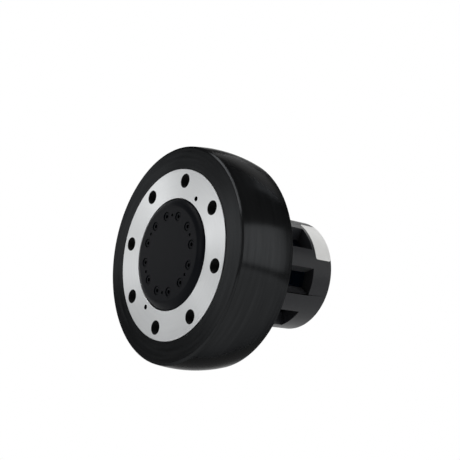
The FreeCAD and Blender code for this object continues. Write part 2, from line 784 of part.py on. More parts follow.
def rotor():
    """The many-sided rotor core and a flat magnet on each side."""
    flats = (stator_inner - dim.air_gap * 2).number
    sides = int(dim.magnet_count.number)
    half_width = flats / 2 * math.sin(math.pi / sides) * dim.magnet_fill.number
    corner = math.sqrt((flats / 2) ** 2 - half_width ** 2)
    thick = dim.magnet_thickness.number
    length = dim.stator_length.number
    core = prism(sides, (corner - thick) * 2, length)
    core.rotate(Vector(), AXIS, 180.0 / sides)
    core = core.cut(along_axis(dim.shaft_diameter.number / 2, 0, length))
    solid_feature("rotor_core", core, stator_front)
    magnet = Part.makeBox(thick, length, half_width * 2,
                          Vector(corner - thick, 0, -half_width))
    solid_feature("rotor_magnets", copies(magnet, full_turn(sides)), stator_front)


# ---- brake ---------------------------------------------------------------------------------

def brake():
    """Friction disc on the shaft, sliding armature plate, and the coil body."""
    tail = dim.tail_diameter / 2
    hole = dim.brake_bore / 2
    ring("friction_disc", tail, armature_diameter / 2, friction_front, friction_rear)
    ring("brake_armature", hole, armature_diameter / 2, armature_front, armature_rear)
    ring("brake_coil_body", hole, brake_diameter / 2, brake_front, brake_rear)
    spacer = prism(6, dim.spacer_size.number,
                   (brake_front - dim.stator_bore_end).number)
    solid_feature("brake_spacers",
                  copies(spacer, full_turn(dim.spacer_count.number),
                         spacer_circle.number / 2),
                  dim.stator_bore_end)


# ---- electronics ----------------------------------------------------------------------------

def electronics():
    """Encoder disc and board, driver board, standoffs, connectors, capacitors."""
    disc("encoder_disc", encoder_diameter / 2, disc_front, disc_rear)
    size = encoder_board_size.number
    board = Part.makeBox(size, dim.board_thickness.number, size,
                         Vector(-size / 2, 0, -size / 2))
    solid_feature("encoder_board", board, encoder_board_front)
    side = dim.chip_size.number
    chip = Part.makeBox(side, dim.chip_height.number, side, Vector(-side / 2, 0, -side / 2))
    solid_feature("reader_chip", chip, encoder_board_front - dim.chip_height)
    carrier = prism(6, dim.spacer_size.number, (encoder_board_front - brake_rear).number)
    corners = full_turn(dim.post_count.number, dim.encoder_post_angle.number)
    solid_feature("encoder_standoffs", copies(carrier, corners, encoder_circle.number / 2),
                  brake_rear)
    disc("driver_board", driver_diameter / 2, driver_place,
         driver_place + dim.board_thickness)
    standoff = prism(6, dim.standoff_size.number,
                     (driver_place - dim.stator_bore_end).number)
    posts = full_turn(dim.post_count.number, dim.standoff_angle.number)
    solid_feature("board_standoffs",
                  copies(standoff, posts, standoff_circle.number / 2),
                  dim.stator_bore_end)
    width = dim.connector_width.number
    plug = Part.makeBox(dim.connector_length.number, dim.connector_height.number, width,
                        Vector(-dim.connector_length.number / 2, 0, -width / 2))
    reach = (driver_diameter - dim.connector_length).number / 2 - dim.connector_inset.number
    first = dim.window_angle.number
    doors = [first, first + dim.connector_turn.number]
    solid_feature("board_connectors", copies(plug, doors, reach),
                  driver_place - dim.connector_height)
    can = along_axis(dim.capacitor_diameter.number / 2, 0, dim.capacitor_height.number)
    solid_feature("bus_capacitors",
                  copies(can, full_turn(dim.capacitor_count.number),
                         dim.capacitor_place.number),
                  driver_place + dim.board_thickness)


for make in (drum_housing, front_ring, bearing_parts, output_flange, hub_disc,
             hub_fasteners, circular_spline, flexspline, wave_generator, rear_housing,
             rear_closure, label, motor, stator, rotor, brake, electronics):
    make()

doc.recompute()

# ---- check and write every piece ----------------------------------------------------------

for item in doc.Objects:
    if "Invalid" in item.State or "Error" in item.State:
        raise RuntimeError(f"{item.Label} failed: {item.State}")

os.makedirs("parts", exist_ok=True)
for item in doc.RootObjects:
    if item.isDerivedFrom("Spreadsheet::Sheet"):
        continue
    if item.Shape.isNull() or not item.Shape.isValid():
        raise RuntimeError(f"{item.Label} has no valid shape")
    item.Shape.exportStep(f"parts/{item.Label}.step")
    print(item.Label, len(item.Shape.Solids), round(item.Shape.Volume, 1))
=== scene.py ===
"""The looks of a rotary robot joint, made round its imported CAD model.

The turning axis is Y, the output faces -Y and +Z is up. Meshes are in metres. Outlines and
cutters are given in millimetres, as radius and place along the axis.
"""

import json
import math

import bmesh
import bpy
from bpy.props import FloatProperty, FloatVectorProperty, IntProperty, PointerProperty
from mathutils import Matrix, Quaternion, Vector


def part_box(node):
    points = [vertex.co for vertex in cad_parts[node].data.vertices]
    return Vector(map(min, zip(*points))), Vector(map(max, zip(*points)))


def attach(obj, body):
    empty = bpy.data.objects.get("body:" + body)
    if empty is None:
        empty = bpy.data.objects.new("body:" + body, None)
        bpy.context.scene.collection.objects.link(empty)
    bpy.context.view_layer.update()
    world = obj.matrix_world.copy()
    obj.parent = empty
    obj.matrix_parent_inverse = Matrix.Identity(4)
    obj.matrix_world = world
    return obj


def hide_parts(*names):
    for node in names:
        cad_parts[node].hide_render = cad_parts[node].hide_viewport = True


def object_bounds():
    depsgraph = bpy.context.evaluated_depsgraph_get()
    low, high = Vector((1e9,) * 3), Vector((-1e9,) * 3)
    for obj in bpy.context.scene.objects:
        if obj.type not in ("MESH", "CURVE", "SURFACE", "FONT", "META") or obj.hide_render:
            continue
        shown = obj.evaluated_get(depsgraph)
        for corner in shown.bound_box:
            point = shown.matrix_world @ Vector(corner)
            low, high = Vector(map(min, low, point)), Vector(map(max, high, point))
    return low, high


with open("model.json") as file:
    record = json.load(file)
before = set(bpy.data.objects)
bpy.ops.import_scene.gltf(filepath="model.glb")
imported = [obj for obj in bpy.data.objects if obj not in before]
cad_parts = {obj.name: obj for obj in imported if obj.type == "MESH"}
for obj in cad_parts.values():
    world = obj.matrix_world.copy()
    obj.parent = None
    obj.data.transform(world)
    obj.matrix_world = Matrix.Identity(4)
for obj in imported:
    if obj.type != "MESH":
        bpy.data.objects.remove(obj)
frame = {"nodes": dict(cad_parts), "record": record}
CAD_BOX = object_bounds()

bl_info = {
    "name": "Rotary robot joint",
    "version": (1, 0, 0),
    "blender": (4, 5, 0),
    "location": "3D View > Sidebar > Joint",
    "description": "Builds the visible pieces, finishes and stage of a rotary robot joint",
    "category": "Object",
}

MM = 0.001
AXIS = Vector((0, 1, 0))
FULL_TURN = 2 * math.pi
FINE_STEPS = 192   # facets round a large turned piece
HOLE_STEPS = 40    # facets round a hole or a screw head
PIN_STEPS = 24     # facets round a dowel pin
ARC_STEPS = 16     # facets along an arc of an outline
CLEAR = 1          # mm by which a cutter starts outside the face that it cuts
MOUNTS = {mount["name"]: mount for mount in frame["record"]["mounts"]}


# ---- colours ---------------------------------------------------------------

def srgb(code):
    """A colour written as sRGB hex, such as "1B1C1E", as linear red, green and blue."""
    parts = [int(code[i:i + 2], 16) / 255 for i in (0, 2, 4)]
    return tuple(p / 12.92 if p <= 0.04045 else ((p + 0.055) / 1.055) ** 2.4 for p in parts)


def colour(name, note, code):
    """A colour property with its default written as sRGB hex."""
    return FloatVectorProperty(name=name, description=note, subtype="COLOR", size=3,
                               min=0, max=1, default=srgb(code))


def length(name, note, size):
    """A length property with its default in millimetres."""
    return FloatProperty(name=name, description=note, unit="LENGTH", precision=5,
                         min=0, default=size * MM)


class JointSizes(bpy.types.PropertyGroup):
    """Sizes of the fine forms that the CAD model leaves plain."""

    edge: length("Edge", "Rounding of turned edges", 0.3)
    fine_edge: length("Fine edge", "Rounding of small edges and holes", 0.15)
    crown: length("Crown", "Radius of the drum wall's arc", 100)
    ring_chamfer: length("Ring chamfer", "Width of the front ring's chamfer", 1.4)
    hub_rim: length("Hub rim", "Radius of the hub's rounded rim", 9)
    hole_chamfer: length("Hole chamfer", "Chamfer at the mouth of a tapped hole", 0.35)
    thread_pitch: length("Thread pitch", "Pitch of the output threads", 1.0)
    thread_depth: length("Thread depth", "Depth of the output threads", 0.5)
    window_edge: length("Window edge", "Rounding of the window edges", 0.35)
    screw_groups: IntProperty(name="Screw groups", description="Groups of screws on the hub",
                              default=6, min=1)


class JointColours(bpy.types.PropertyGroup):
    """Colours of the finishes."""

    anodised: colour("Anodised", "Black anodised aluminium", "2C2D2E")
    oxide: colour("Black oxide", "Blackened steel of the hub and screws", "0B0D12")
    # painted shade: the threads are drawn near black so that the tapped holes look dark
    thread: colour("Thread", "Near-black threads: painted shade in the tapped holes", "0E0E0F")
    nickel: colour("Nickel", "Ground and nickel-plated flange", "DDDFE0")
    housing: colour("Housing", "Blasted black anodised housing", "26272A")
    film: colour("Film", "Label film", "FAFAF8")
    floor: colour("Floor", "Studio floor", "E2E2E2")


# ---- materials -------------------------------------------------------------

def add(tree, kind, links=None, **settings):
    """One node with its settings. links maps an input to a value or to an output."""
    node = tree.nodes.new(kind)
    for name, value in settings.items():
        setattr(node, name, value)
    for key, value in (links or {}).items():
        socket = node.inputs[key]
        if isinstance(value, bpy.types.NodeSocket):
            tree.links.new(value, socket)
        else:
            socket.default_value = value
    return node


def surface(name, base, rough, metallic=0.0, **sockets):
    """A material with a Principled surface. Sockets are named with underscores."""
    material = bpy.data.materials.new(name)
    material.use_nodes = True
    tree = material.node_tree
    shader = tree.nodes["Principled BSDF"]
    shader.inputs["Base Color"].default_value = (*base, 1)
    shader.inputs["Roughness"].default_value = rough
    shader.inputs["Metallic"].default_value = metallic
    for key, value in sockets.items():
        shader.inputs[key.replace("_", " ")].default_value = value
    return material, tree, shader


def place(tree):
    """Object coordinates of the shaded point."""
    return add(tree, "ShaderNodeTexCoord").outputs["Object"]


def turned_sheen(tree, shader, amount):
    """Stretch reflections across the tool's rings, which run round the axis."""
    around = add(tree, "ShaderNodeVectorMath", {0: (0, 1, 0), 1: place(tree)},
                 operation="CROSS_PRODUCT")
    turned_round = add(tree, "ShaderNodeVectorTransform", {"Vector": around.outputs[0]},
                       vector_type="VECTOR", convert_from="OBJECT", convert_to="WORLD")
    skin = add(tree, "ShaderNodeNewGeometry")
    over = add(tree, "ShaderNodeVectorMath",
               {0: skin.outputs["Normal"], 1: turned_round.outputs[0]},
               operation="CROSS_PRODUCT")
    tree.links.new(over.outputs[0], shader.inputs["Tangent"])
    shader.inputs["Anisotropic"].default_value = amount


def lathe_lines(tree, spacing, runs):
    """Noise in thin rings round the axis: spacing apart, each running on for a while."""
    here = place(tree)
    flat = add(tree, "ShaderNodeVectorMath", {0: here, 1: (1, 0, 1)}, operation="MULTIPLY")
    reach = add(tree, "ShaderNodeVectorMath", {0: flat.outputs[0]}, operation="LENGTH")
    spoke = add(tree, "ShaderNodeVectorMath", {0: flat.outputs[0]}, operation="NORMALIZE")
    turn = add(tree, "ShaderNodeVectorMath", {0: spoke.outputs[0], "Scale": runs},
               operation="SCALE")
    depth = add(tree, "ShaderNodeVectorMath", {0: here, 1: (0, 1 / spacing, 0)},
                operation="MULTIPLY")
    spot = add(tree, "ShaderNodeVectorMath", {0: turn.outputs[0], 1: depth.outputs[0]},
               operation="ADD")
    outward = add(tree, "ShaderNodeMath", {0: reach.outputs["Value"], 1: 1 / spacing},
                  operation="MULTIPLY")
    noise = add(tree, "ShaderNodeTexNoise",
                {"Vector": spot.outputs[0], "W": outward.outputs[0], "Scale": 1.0,
                 "Detail": 3.0, "Roughness": 0.6}, noise_dimensions="4D")
    return noise.outputs["Fac"]


def grain(tree, size, detail=4.0):
    """Even noise whose grains are about that size."""
    noise = add(tree, "ShaderNodeTexNoise",
                {"Vector": place(tree), "Scale": 1 / size, "Detail": detail})
    return noise.outputs["Fac"]


def between(tree, value, low, high):
    """A pattern from 0 to 1 spread between two values."""
    spread = add(tree, "ShaderNodeMapRange",
                 {"Value": value, "From Min": 0.25, "From Max": 0.75,
                  "To Min": low, "To Max": high})
    return spread.outputs["Result"]


def bumped(tree, shader, value, height):
    """Let a pattern raise the surface by up to height."""
    bump = add(tree, "ShaderNodeBump",
               {"Height": value, "Distance": height, "Strength": 1.0})
    tree.links.new(bump.outputs["Normal"], shader.inputs["Normal"])


def tinted(tree, shader, value, dark, light):
    """Let a pattern move the base colour between two shades."""
    mix = add(tree, "ShaderNodeMix", data_type="RGBA")
    tree.links.new(between(tree, value, 0, 1), mix.inputs["Factor"])
    mix.inputs["A"].default_value = (*dark, 1)
    mix.inputs["B"].default_value = (*light, 1)
    tree.links.new(mix.outputs["Result"], shader.inputs["Base Color"])


def shade(base, share):
    """A colour times a share of its light."""
    return tuple(part * share for part in base)


def turned_anodised(colours):
    """Turned aluminium, dyed black: a tight sheen drawn out across the tool's rings.

    The dyed film is thin, so most of the sheen comes from the metal below it, dimmed by the dye.
    """
    base = tuple(colours.anodised)
    material, tree, shader = surface("black anodised aluminium, turned", base, 0.2,
                                     metallic=0.85, Specular_IOR_Level=0.15,
                                     Specular_Tint=(0.3, 0.3, 0.3, 1))
    lines = lathe_lines(tree, 2 * MM, 2.0)  # the real feed marks, 0.1 mm, wouldn't show
    tree.links.new(between(tree, lines, 0.18, 0.24), shader.inputs["Roughness"])
    tinted(tree, shader, lines, shade(base, 0.8), shade(base, 1.3))
    bumped(tree, shader, lines, 0.004 * MM)
    turned_sheen(tree, shader, 0.6)
    return material


def blasted_anodised(colours):
    """Bead-blasted aluminium, dyed black: an even grain and a broad, soft sheen."""
    base = tuple(colours.housing)
    material, tree, shader = surface("black anodised aluminium, blasted", base, 0.35,
                                     Specular_IOR_Level=0.2, Sheen_Weight=0.15,
                                     Sheen_Roughness=0.4)
    specks = grain(tree, 1.5 * MM)  # glass beads leave 0.1 mm dents, drawn coarser to show
    tree.links.new(between(tree, specks, 0.33, 0.38), shader.inputs["Roughness"])
    tinted(tree, shader, specks, shade(base, 0.9), shade(base, 1.1))
    bumped(tree, shader, specks, 0.003 * MM)
    return material


def black_oxide(colours):
    """Blackened steel, faintly blue, ground and oiled."""
    base = tuple(colours.oxide)
    material, tree, shader = surface("black oxide steel", base, 0.35,
                                     Specular_IOR_Level=0.07)
    specks = grain(tree, 2 * MM)
    tree.links.new(between(tree, specks, 0.32, 0.38), shader.inputs["Roughness"])
    tinted(tree, shader, specks, shade(base, 0.9), shade(base, 1.1))
    bumped(tree, shader, specks, 0.003 * MM)
    return material


def tapped_thread_painted_shade(colours):
    """Steel thread, oiled, drawn near black: painted shade that keeps the holes dark."""
    base = tuple(colours.thread)
    material, tree, shader = surface("tapped thread, painted dark as shade", base, 0.5,
                                     Specular_IOR_Level=0.15)
    specks = grain(tree, 0.8 * MM)
    tree.links.new(between(tree, specks, 0.45, 0.6), shader.inputs["Roughness"])
    tinted(tree, shader, specks, shade(base, 0.7), shade(base, 1.3))
    bumped(tree, shader, specks, 0.01 * MM)
    return material


def ground_nickel(colours):
    """Face-turned steel with bright nickel: fine rings that spread highlights across them."""
    base = tuple(colours.nickel)
    material, tree, shader = surface("nickel-plated steel, face turned", base, 0.32,
                                     metallic=1.0)
    lines = lathe_lines(tree, 1.2 * MM, 1.5)  # the real rings, 0.05 mm, wouldn't show
    tree.links.new(between(tree, lines, 0.29, 0.35), shader.inputs["Roughness"])
    tinted(tree, shader, lines, shade(base, 0.94), base)
    bumped(tree, shader, lines, 0.003 * MM)
    turned_sheen(tree, shader, 0.8)
    return material


def label_film(colours):
    """Matt white polyester film, very slightly uneven where it is stuck down."""
    base = tuple(colours.film)
    material, tree, shader = surface("white polyester film", base, 0.45)
    waves = grain(tree, 6 * MM, 1.0)
    tree.links.new(between(tree, waves, 0.4, 0.5), shader.inputs["Roughness"])
    tinted(tree, shader, waves, shade(base, 0.95), base)
    bumped(tree, shader, waves, 0.05 * MM)
    return material


def plain(name, code, rough, metallic, size, height):
    """A finish with one colour, a grain in its gloss and a slight bump."""
    base = srgb(code)
    spread = 0.06
    material, tree, shader = surface(name, base, rough, metallic)
    specks = grain(tree, size)
    tree.links.new(between(tree, specks, rough - spread, rough + spread),
                   shader.inputs["Roughness"])
    tinted(tree, shader, specks, shade(base, 0.85), shade(base, 1.12))
    bumped(tree, shader, specks, height)
    return material


def seen_directly(tree):
    """1 for rays from the camera, a mirror or a glass, and 0 for light on its way."""
    paths = add(tree, "ShaderNodeLightPath")
    mirrored = add(tree, "ShaderNodeMath", {0: paths.outputs["Is Camera Ray"],
                                            1: paths.outputs["Is Glossy Ray"]},
                   operation="MAXIMUM")
    either = add(tree, "ShaderNodeMath", {0: mirrored.outputs[0],
                                          1: paths.outputs["Is Transmission Ray"]},
                 operation="MAXIMUM")
    return either.outputs[0]


FLOOR_RADIUS = 2.5
FLOOR_DROP = 0.36        # below the object
FLOOR_LIFT = 0.55        # share of plain white mixed in near the object
FLOOR_FADE = (0.8, 2.2)  # distances between which the floor turns white
FLOOR_PATCH = 0.4        # size of the faint patches in its gloss
ROOM_LIGHT = 0.35        # light from all round on matt surfaces
DIM_WALL = 0.16          # how bright the walls look in a reflection
WALL_EDGE = (0.93, 0.985)  # cosines to the white wall behind the object


def studio_floor(colours):
    """Matt painted floor that fades into the white beyond it, and keeps a soft shadow."""
    material, tree, shader = surface("matt painted floor", tuple(colours.floor), 0.9)
    tree.links.new(between(tree, grain(tree, FLOOR_PATCH), 0.85, 0.95), shader.inputs["Roughness"])
    white = add(tree, "ShaderNodeEmission", {"Color": (1, 1, 1, 1), "Strength": 1.0})
    reach = add(tree, "ShaderNodeVectorMath", {0: place(tree)}, operation="LENGTH")
    fade = add(tree, "ShaderNodeMapRange",
               {"Value": reach.outputs["Value"], "From Min": FLOOR_FADE[0],
                "From Max": FLOOR_FADE[1], "To Min": FLOOR_LIFT, "To Max": 1.0},
               interpolation_type="SMOOTHSTEP")
    whiter = add(tree, "ShaderNodeMath", {0: fade.outputs["Result"], 1: seen_directly(tree)},
                 operation="MULTIPLY")
    mixed = add(tree, "ShaderNodeMixShader", {0: whiter.outputs[0]})
    tree.links.new(shader.outputs[0], mixed.inputs[1])
    tree.links.new(white.outputs[0], mixed.inputs[2])
    tree.links.new(mixed.outputs[0], tree.nodes["Material Output"].inputs["Surface"])
    return material


def studio_world(behind):
    """White for the camera, for mirrors only behind the object, and dim room light."""
    world = bpy.data.worlds.new("studio")
    world.use_nodes = True
    tree = world.node_tree
    room = tree.nodes["Background"]
    room.inputs["Color"].default_value = (1, 1, 1, 1)
    room.inputs["Strength"].default_value = ROOM_LIGHT
    way = add(tree, "ShaderNodeTexCoord").outputs["Generated"]
    towards = add(tree, "ShaderNodeVectorMath", {0: way, 1: behind}, operation="DOT_PRODUCT")
    wall = add(tree, "ShaderNodeMapRange",
               {"Value": towards.outputs["Value"], "From Min": WALL_EDGE[0],
                "From Max": WALL_EDGE[1], "To Min": DIM_WALL, "To Max": 1.0},
               interpolation_type="SMOOTHSTEP")
    paths = add(tree, "ShaderNodeLightPath")
    whiter = add(tree, "ShaderNodeMath", {0: wall.outputs["Result"],
                                          1: paths.outputs["Is Camera Ray"]},
                 operation="MAXIMUM")
    backdrop = add(tree, "ShaderNodeBackground",
                   {"Color": (1, 1, 1, 1), "Strength": whiter.outputs[0]})
    mixed = add(tree, "ShaderNodeMixShader", {0: seen_directly(tree)})
    tree.links.new(room.outputs[0], mixed.inputs[1])
    tree.links.new(backdrop.outputs[0], mixed.inputs[2])
    tree.links.new(mixed.outputs[0], tree.nodes["World Output"].inputs["Surface"])
    return world


def all_materials(colours):
    """Every finish, by the record's slot names."""
    grit = 0.4 * MM   # drawn coarser than ground or moulded skins are, so that it shows
    smooth = 0.004 * MM
    soft = 0.01 * MM
    rough = 0.03 * MM
    return {
        "black_anodised": turned_anodised(colours),
        "cast_anodised": blasted_anodised(colours),
        "bright_flange": ground_nickel(colours),
        "black_steel": black_oxide(colours),
        # the tapped threads, drawn near black as painted shade inside the holes
        "tapped_thread": tapped_thread_painted_shade(colours),
        "label_film": label_film(colours),
        # ground bright, with soft reflections
        "bearing_steel": plain("bearing steel, ground", "B8BABD", 0.25, 1.0, grit, smooth),
        # heat-treated: dull and grey
        "dowel_steel": plain("hardened steel, dull", "5A5B5D", 0.4, 1.0, grit, smooth),
        # matt and black, with no clear reflection
        "seal_rubber": plain("nitrile rubber", "151515", 0.6, 0.0, grit, soft),
        # blue-grey cut edges of thin sheets
        "electrical_steel": plain("electrical steel, stacked", "6E7074", 0.4, 1.0, grit, smooth),
        # satin and reddish brown, from the enamel over the wire
        "copper": plain("enamelled copper wire", "9A4A22", 0.3, 1.0, grit, smooth),
        # bright plating, a little grey
        "magnet": plain("nickel-plated magnet", "9EA0A4", 0.25, 1.0, grit, smooth),
        # pale and satin
        "plain_aluminium": plain("aluminium, machined", "C2C4C6", 0.35, 1.0, grit, smooth),
        # brown-black and quite matt
        "friction_lining": plain("friction lining, pressed", "3A342F", 0.8, 0.0, grit, rough),
        # dark blue, with a soft gloss
        "circuit_board": plain("circuit board, solder mask", "12243A", 0.35, 0.0, grit, smooth),
        # black with a dull, moulded gloss
        "black_plastic": plain("moulded nylon, black", "18181A", 0.5, 0.0, grit, soft),
        # dark and glossy
        "encoder_glass": plain("coated glass", "2C3136", 0.12, 0.0, grit, 0.0),
    }


# ---- forming ---------------------------------------------------------------

def outline(bm, corners, closed=True):
    """Wire through (radius, place) corners in millimetres."""
    points = [bm.verts.new((radius * MM, along * MM, 0)) for radius, along in corners]
    pairs = list(zip(points, points[1:]))
    if closed:
        pairs.append((points[-1], points[0]))
    for pair in pairs:
        bm.edges.new(pair)
    return points


def soften(bm, points, radius):
    """Round wire corners."""
    if points:
        bmesh.ops.bevel(bm, geom=points, offset=radius, offset_type="OFFSET", segments=3,
                        profile=0.5, affect="VERTICES", clamp_overlap=True, material=-1)


def bulge(bm, first, last, radius):
    """Swap the wire edge between two points for an arc that bulges away from the axis."""
    edge = next(e for e in first.link_edges if e.other_vert(first) is last)
    bm.edges.remove(edge)
    chord = last.co - first.co
    outward = Vector((chord.y, -chord.x, 0)).normalized()
    if outward.x < 0:
        outward.negate()
    centre = (first.co + last.co) / 2 - outward * math.sqrt(radius ** 2 - chord.length_squared / 4)
    sweep = (first.co - centre).angle(last.co - centre)
    side = (first.co - centre).cross(last.co - centre).z
    made = bmesh.ops.spin(bm, geom=[first], cent=centre, axis=(0, 0, math.copysign(1, side)),
                          angle=sweep, steps=ARC_STEPS)
    end = next(v for v in made["geom_last"] if isinstance(v, bmesh.types.BMVert))
    bmesh.ops.weld_verts(bm, targetmap={end: last})


def turn(bm, steps):
    """Turn all the wire round the axis into a closed skin."""
    bmesh.ops.spin(bm, geom=bm.verts[:] + bm.edges[:], cent=(0, 0, 0), axis=AXIS,
                   angle=FULL_TURN, steps=steps, use_merge=True)
    bmesh.ops.remove_doubles(bm, verts=bm.verts[:], dist=0.0005 * MM)
    bmesh.ops.recalc_face_normals(bm, faces=bm.faces[:])


def turned(corners, rounds, radius, closed=True, arcs=(), steps=FINE_STEPS):
    """A skin turned from corners. rounds are the corners to soften, arcs (first, radius)."""
    bm = bmesh.new()
    points = outline(bm, corners, closed)
    for first, bow in arcs:
        bulge(bm, points[first], points[(first + 1) % len(points)], bow)
    soften(bm, [points[i] for i in rounds], radius)
    turn(bm, steps)
    return bm


def shading(mesh, angle=math.radians(28)):
    """Smooth faces with sharp edges where the skin folds."""
    bm = bmesh.new()
    bm.from_mesh(mesh)
    for face in bm.faces:
        face.smooth = True
    for edge in bm.edges:
        edge.smooth = len(edge.link_faces) == 2 and edge.calc_face_angle(0) < angle
    bm.to_mesh(mesh)
    bm.free()


def held(name, bm):
    """A scene object made from a bmesh, which is freed."""
    mesh = bpy.data.meshes.new(name)
    bm.to_mesh(mesh)
    bm.free()
    item = bpy.data.objects.new(name, mesh)
    bpy.context.scene.collection.objects.link(item)
    return item


def settle(item):
    """Apply an object's modifiers to its mesh."""
    depsgraph = bpy.context.evaluated_depsgraph_get()
    mesh = bpy.data.meshes.new_from_object(item.evaluated_get(depsgraph))
    item.modifiers.clear()
    item.data = mesh


def carve(item, cutter_bm, finish=0):
    """Cut the shape of a bmesh out of an object. finish is the material slot of the cut."""
    for face in cutter_bm.faces:
        face.material_index = finish
    cutter = held("cutter", cutter_bm)
    for mesh in (item.data, cutter.data):
        while len(mesh.materials) <= finish:
            mesh.materials.append(None)
    cut = item.modifiers.new("cut", "BOOLEAN")
    cut.object = cutter
    cut.solver = "EXACT"
    settle(item)
    bpy.data.objects.remove(cutter)


def ease_edges(item, width, segments=2, angle=math.radians(35)):
    """Round the edges of an object that are sharper than an angle."""
    bevel = item.modifiers.new("edges", "BEVEL")
    bevel.width = width
    bevel.segments = segments
    bevel.limit_method = "ANGLE"
    bevel.angle_limit = angle
    settle(item)


def piece(item, name, finishes, body, slot, *nodes):
    """Dress an object in its finishes, let it ride on its body and stand for CAD nodes."""
    dress = item.data.materials
    for number, finish in enumerate(finishes):
        if number < len(dress):
            dress[number] = MATERIALS[finish]
        else:
            dress.append(MATERIALS[finish])
    shading(item.data)
    flats = item.modifiers.new("flats", "WEIGHTED_NORMAL")
    flats.keep_sharp = True
    settle(item)
    item.name = name
    item.data.name = name
    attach(item, body)
    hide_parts(*nodes)


def spread_round(bm, angles, reach):
    """Copy what a bmesh holds to each angle, out at a reach from the axis."""
    first = bm.verts[:] + bm.edges[:] + bm.faces[:]
    for angle in angles:
        copy = bmesh.ops.duplicate(bm, geom=first)["geom"]
        points = [part for part in copy if isinstance(part, bmesh.types.BMVert)]
        spot = Matrix.Rotation(-math.radians(angle), 4, "Y") @ Matrix.Translation((reach, 0, 0))
        bmesh.ops.transform(bm, matrix=spot, verts=points)
    bmesh.ops.delete(bm, geom=[v for v in first if isinstance(v, bmesh.types.BMVert)],
                     context="VERTS")


def full_circle(count, start=0.0):
    """Equal angles round a full turn, in degrees."""
    return [start + 360 * step / count for step in range(count)]


def tapped_hole(radius, mouth, depth, into, sizes, threads=8):
    """Cutter for a tapped hole at the axis: a chamfer, grooves and a drilled end.

    into is +1 where the hole runs along +Y from its mouth, and -1 along -Y.
    """
    chamfer = sizes.hole_chamfer / MM
    pitch = sizes.thread_pitch / MM
    lead_in = 0.4      # mm of plain wall between the chamfer and the first groove
    groove = 0.9       # of a pitch, with the rest left as the crest
    drill_point = 0.5  # of the radius
    corners = [(0, mouth - into * CLEAR), (radius + chamfer, mouth - into * CLEAR),
               (radius + chamfer, mouth), (radius, mouth + into * chamfer)]
    for step in range(threads):
        start = chamfer + lead_in + step * pitch
        corners += [(radius, mouth + into * start),
                    (radius + sizes.thread_depth / MM, mouth + into * (start + pitch / 2)),
                    (radius, mouth + into * (start + pitch * groove))]
    corners += [(radius, mouth + into * depth),
                (0, mouth + into * (depth + radius * drill_point))]
    return turned(corners, [], 0, closed=False, steps=HOLE_STEPS)


def plain_hole(radius, mouth, depth, into, chamfer):
    """Cutter for a smooth blind hole at the axis, with a chamfered mouth."""
    corners = [(0, mouth - into * CLEAR), (radius + chamfer, mouth - into * CLEAR),
               (radius + chamfer, mouth), (radius, mouth + into * chamfer),
               (radius, mouth + into * depth), (0, mouth + into * depth)]
    return turned(corners, [], 0, closed=False, steps=HOLE_STEPS)


def socket_head(radius, height, flats, socket, face, into):
    """One socket-head screw at the axis. face is its outer end."""
    rim = 0.2 * MM
    mouth = 0.06 * MM
    end = face + into * height
    bm = turned([(0, face), (radius, face), (radius, end), (0, end)], [1], rim,
                closed=False, steps=HOLE_STEPS)
    item = held("head", bm)
    key = bmesh.new()
    corner = flats / math.sqrt(3) * MM
    bmesh.ops.create_cone(key, cap_ends=True, segments=6, radius1=corner, radius2=corner,
                          depth=2 * socket * MM)
    bmesh.ops.rotate(key, verts=key.verts, cent=(0, 0, 0),
                     matrix=Matrix.Rotation(math.pi / 2, 3, "X"))
    bmesh.ops.translate(key, verts=key.verts, vec=(0, face * MM, 0))
    bmesh.ops.recalc_face_normals(key, faces=key.faces[:])
    carve(item, key)
    ease_edges(item, mouth, 1)
    bm = bmesh.new()
    bm.from_mesh(item.data)
    bpy.data.objects.remove(item)
    return bm


# ---- operators ---------------------------------------------------------------

MATERIALS = {}


class JOINT_OT_finishes(bpy.types.Operator):
    """Make every finish and give it to the CAD nodes that stay"""

    bl_idname = "joint.finishes"
    bl_label = "Finishes"

    def execute(self, context):
        MATERIALS.update(all_materials(context.scene.joint_colours))
        for part in frame["record"]["subparts"]:
            for slot in frame["nodes"][part["node"]].material_slots:
                slot.material = MATERIALS[part["material_slot"]]
        return {"FINISHED"}


class JOINT_OT_flange(bpy.types.Operator):
    """Turn the bright output flange and drill its tapped and dowel holes"""

    bl_idname = "joint.flange"
    bl_label = "Output flange"

    def execute(self, context):
        sizes = context.scene.joint_sizes
        low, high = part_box("output_flange")
        face, rear = low.y / MM, high.y / MM
        outer = 58
        hub_seat, web_front = 38, face + 7
        cup_room, web_rear = 43, face + 12
        item = held("flange", turned([
            (0, web_front), (hub_seat, web_front), (hub_seat, face), (outer, face),
            (outer, rear), (cup_room, rear), (cup_room, web_rear), (0, web_rear)],
            [2, 3, 4], sizes.edge, closed=False))
        bolts = MOUNTS["output_bolts"]["dims"]
        bolt_depth, first_bolt = 16, -13.1
        cutter = tapped_hole(bolts["hole_r_mm"], face, bolt_depth, 1, sizes)
        spread_round(cutter, full_circle(bolts["count"], first_bolt), bolts["pcd_mm"] / 2 * MM)
        # slot 1 is the tapped thread, drawn near black as painted shade in the holes
        carve(item, cutter, 1)
        pins = MOUNTS["output_dowels"]["dims"]
        pin_depth, pin_chamfer, first_pin = 8, 0.2, 54.4
        cutter = plain_hole(pins["hole_r_mm"], face, pin_depth, 1, pin_chamfer)
        spread_round(cutter, full_circle(pins["count"], first_pin), pins["pcd_mm"] / 2 * MM)
        carve(item, cutter, 1)
        piece(item, "bright_flange_ring", ["bright_flange", "tapped_thread"], "output",
              "bright_flange", "output_flange")
        return {"FINISHED"}


# The hub's groups of screw, dowel and screw, in millimetres and degrees.
HUB_CIRCLE = 26        # radius of the circle through their middles
HUB_FIRST = 23.85      # angle of the first dowel
HUB_SCREW_STEP = 15    # from a dowel to the screws beside it
HUB_DOWEL = 1.0        # dowel radius


def hub_dowel_angles(sizes):
    """Angles of the hub's dowels."""
    return full_circle(sizes.screw_groups, HUB_FIRST)


